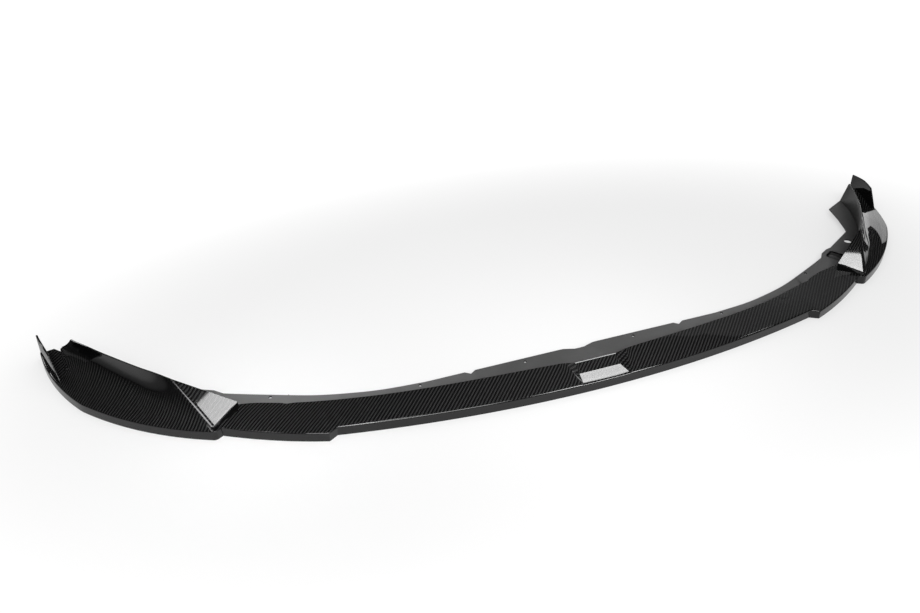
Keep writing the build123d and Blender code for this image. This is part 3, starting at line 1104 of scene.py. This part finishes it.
# Studio: a white floor, soft boxes and a dim room
def studio_floor():
    """Paint that turns into a white glow far from the lip, and near it where the lip mirrors it;
    close to the lip the glow is dimmed as a painted shadow.
    """
    deselect()
    bpy.ops.mesh.primitive_plane_add(size=40, location=(0, 0, 0))
    floor = bpy.context.view_layer.objects.active
    floor.name = "studio_floor"
    material = bpy.data.materials.new("white_floor")
    material.use_nodes = True
    tree = material.node_tree
    tree.nodes.clear()
    net = Net(tree)
    paint = net.feed(net.node("ShaderNodeBsdfDiffuse"), {"Color": (0.55, 0.55, 0.55, 1)})
    # Painted shadow: ambient occlusion dims the glow where the lip stands close
    painted_shadow_ao = net.feed(net.node("ShaderNodeAmbientOcclusion", samples=4), {"Distance": 0.3})
    strength = net.math("MULTIPLY_ADD", painted_shadow_ao.outputs["AO"], 0.4, 0.92)
    glow = net.feed(net.node("ShaderNodeEmission"), {"Color": (1, 1, 1, 1), "Strength": strength})
    path = net.node("ShaderNodeLightPath")
    place = net.node("ShaderNodeTexCoord")
    reach = net.node("ShaderNodeVectorMath", operation="MULTIPLY")
    net.feed(reach, {0: place.outputs["Object"], 1: (0.9, 1.5, 0)})
    length = net.node("ShaderNodeVectorMath", operation="LENGTH")
    away = net.feed(length, {0: reach.outputs[0]}).outputs["Value"]
    far_glow = net.smooth_range(away, 0.6, 1.7, 0.568, 1.0)
    near_glow = net.smooth_range(away, 0.84, 0.98, 0.42, 0.0)
    seen = net.math("MULTIPLY", path.outputs["Is Camera Ray"], far_glow)
    glossy, passing = path.outputs["Is Glossy Ray"], path.outputs["Is Transmission Ray"]
    reflected = net.math("MULTIPLY", net.math("MAXIMUM", glossy, passing), near_glow)
    share = net.math("MAXIMUM", seen, reflected)
    blend = net.node("ShaderNodeMixShader")
    net.feed(blend, {0: share, 1: paint.outputs[0], 2: glow.outputs[0]})
    leave = net.node("ShaderNodeOutputMaterial")
    net.link(blend.outputs[0], leave.inputs[0])
    floor.data.materials.append(material)


def heading(azimuth, elevation):
    """Direction by its bearing, from the rear towards the right, and its height in degrees."""
    a = math.radians(azimuth)
    e = math.radians(elevation)
    return Vector((math.sin(a) * math.cos(e), math.cos(a) * math.cos(e), math.sin(e)))


def soft_box(
    name, seen_from, azimuth, elevation, distance, width, height, radiance, roll=0, spread=180
):
    """Lit rectangle that faces a place on the lip, from a direction and a distance."""
    data = bpy.data.lights.new(name, "AREA")
    data.shape = "RECTANGLE"
    data.size = width
    data.size_y = height
    data.energy = 4 * width * height * radiance
    data.spread = math.radians(spread)
    lamp = bpy.data.objects.new(name, data)
    bpy.context.scene.collection.objects.link(lamp)
    way = heading(azimuth, elevation)
    lamp.location = Vector(seen_from) + way * distance
    facing = way.to_track_quat("Z", "Y")
    lamp.rotation_euler = (facing @ Quaternion((0, 0, 1), math.radians(roll))).to_euler()
    lamp.visible_camera = False
    return lamp


def studio_light():
    # Key beside the camera, which sets the plain level of light
    soft_box("key_box", (0.0, -0.05, 0.03), -162, 42, 2.6, 2.0, 1.4, 2.1, spread=110)
    # Boxes that the left facet, the right facet and the scoop mirror
    soft_box("top_box", (-0.66, -0.08, 0.045), 146, 75.8, 2.6, 0.38, 0.38, 0.28, spread=30)
    soft_box("right_box", (0.66, -0.09, 0.03), 106.5, 50.5, 2.6, 0.23, 0.25, 0.27, spread=30)
    soft_box("rear_box", (0.0, -0.21, 0.02), 36, 47, 1.2, 0.34, 0.28, 0.4, spread=40)
    # Boxes for the ridge, the slot and the front of the left end
    soft_box("dish_box", (-0.6, -0.12, 0.03), 175, 65, 1.2, 0.24, 0.24, 0.6, spread=24)
    soft_box("slot_box", (-0.9, 0.14, 0.03), -28, 26, 1.2, 0.3, 0.3, 0.23, spread=30)
    soft_box("front_box", (-0.66, -0.08, 0.045), -131, 57, 1.2, 0.17, 0.34, 0.15, spread=26)
    # Strip for the line on the rim's corner
    soft_box("front_strip", (-0.05, -0.225, 0.017), 148, 38, 1.38, 0.6, 0.4, 0.7, spread=34)
    # Walls that the right part of the band and the right dish mirror
    soft_box("right_wall", (0.5, -0.15, 0.03), 58, 40, 3.5, 2.35, 2.0, 0.16)
    soft_box("crest_box", (0.5, -0.15, 0.03), 46.5, 19, 3.5, 1.05, 0.551, 0.16)
    soft_box("rear_wall", (0.88, 0.1, 0.02), 58.2, 11.1, 2.0, 0.4, 1.1, 1.3, roll=-27)
    # Fill for the back
    soft_box("back_fill", (0.0, 0.0, 0.03), 18, 8, 2.5, 1.8, 0.35, 2.2)
    world = bpy.data.worlds.new("dim_room")
    bpy.context.scene.world = world
    world.use_nodes = True
    net = Net(world.node_tree)
    path = net.node("ShaderNodeLightPath")
    tone = net.mix(path.outputs["Is Camera Ray"], (0.012, 0.012, 0.0123, 1), (1, 1, 1, 1))
    net.link(tone, world.node_tree.nodes["Background"].inputs[0])


def camera():
    data = bpy.data.cameras.new("camera")
    data.lens = FOCAL_PIXELS * SENSOR_WIDTH / PICTURE_WIDTH
    data.sensor_width = SENSOR_WIDTH
    shot = bpy.data.objects.new("camera", data)
    bpy.context.scene.collection.objects.link(shot)
    shot.location = CAMERA_PLACE
    shot.rotation_euler = (math.radians(CAMERA_TILT), 0, math.radians(CAMERA_TURN))
    data.clip_end = 100
    bpy.context.scene.camera = shot


studio_floor()
studio_light()
camera()
bpy.context.scene.view_settings.view_transform = "Standard"
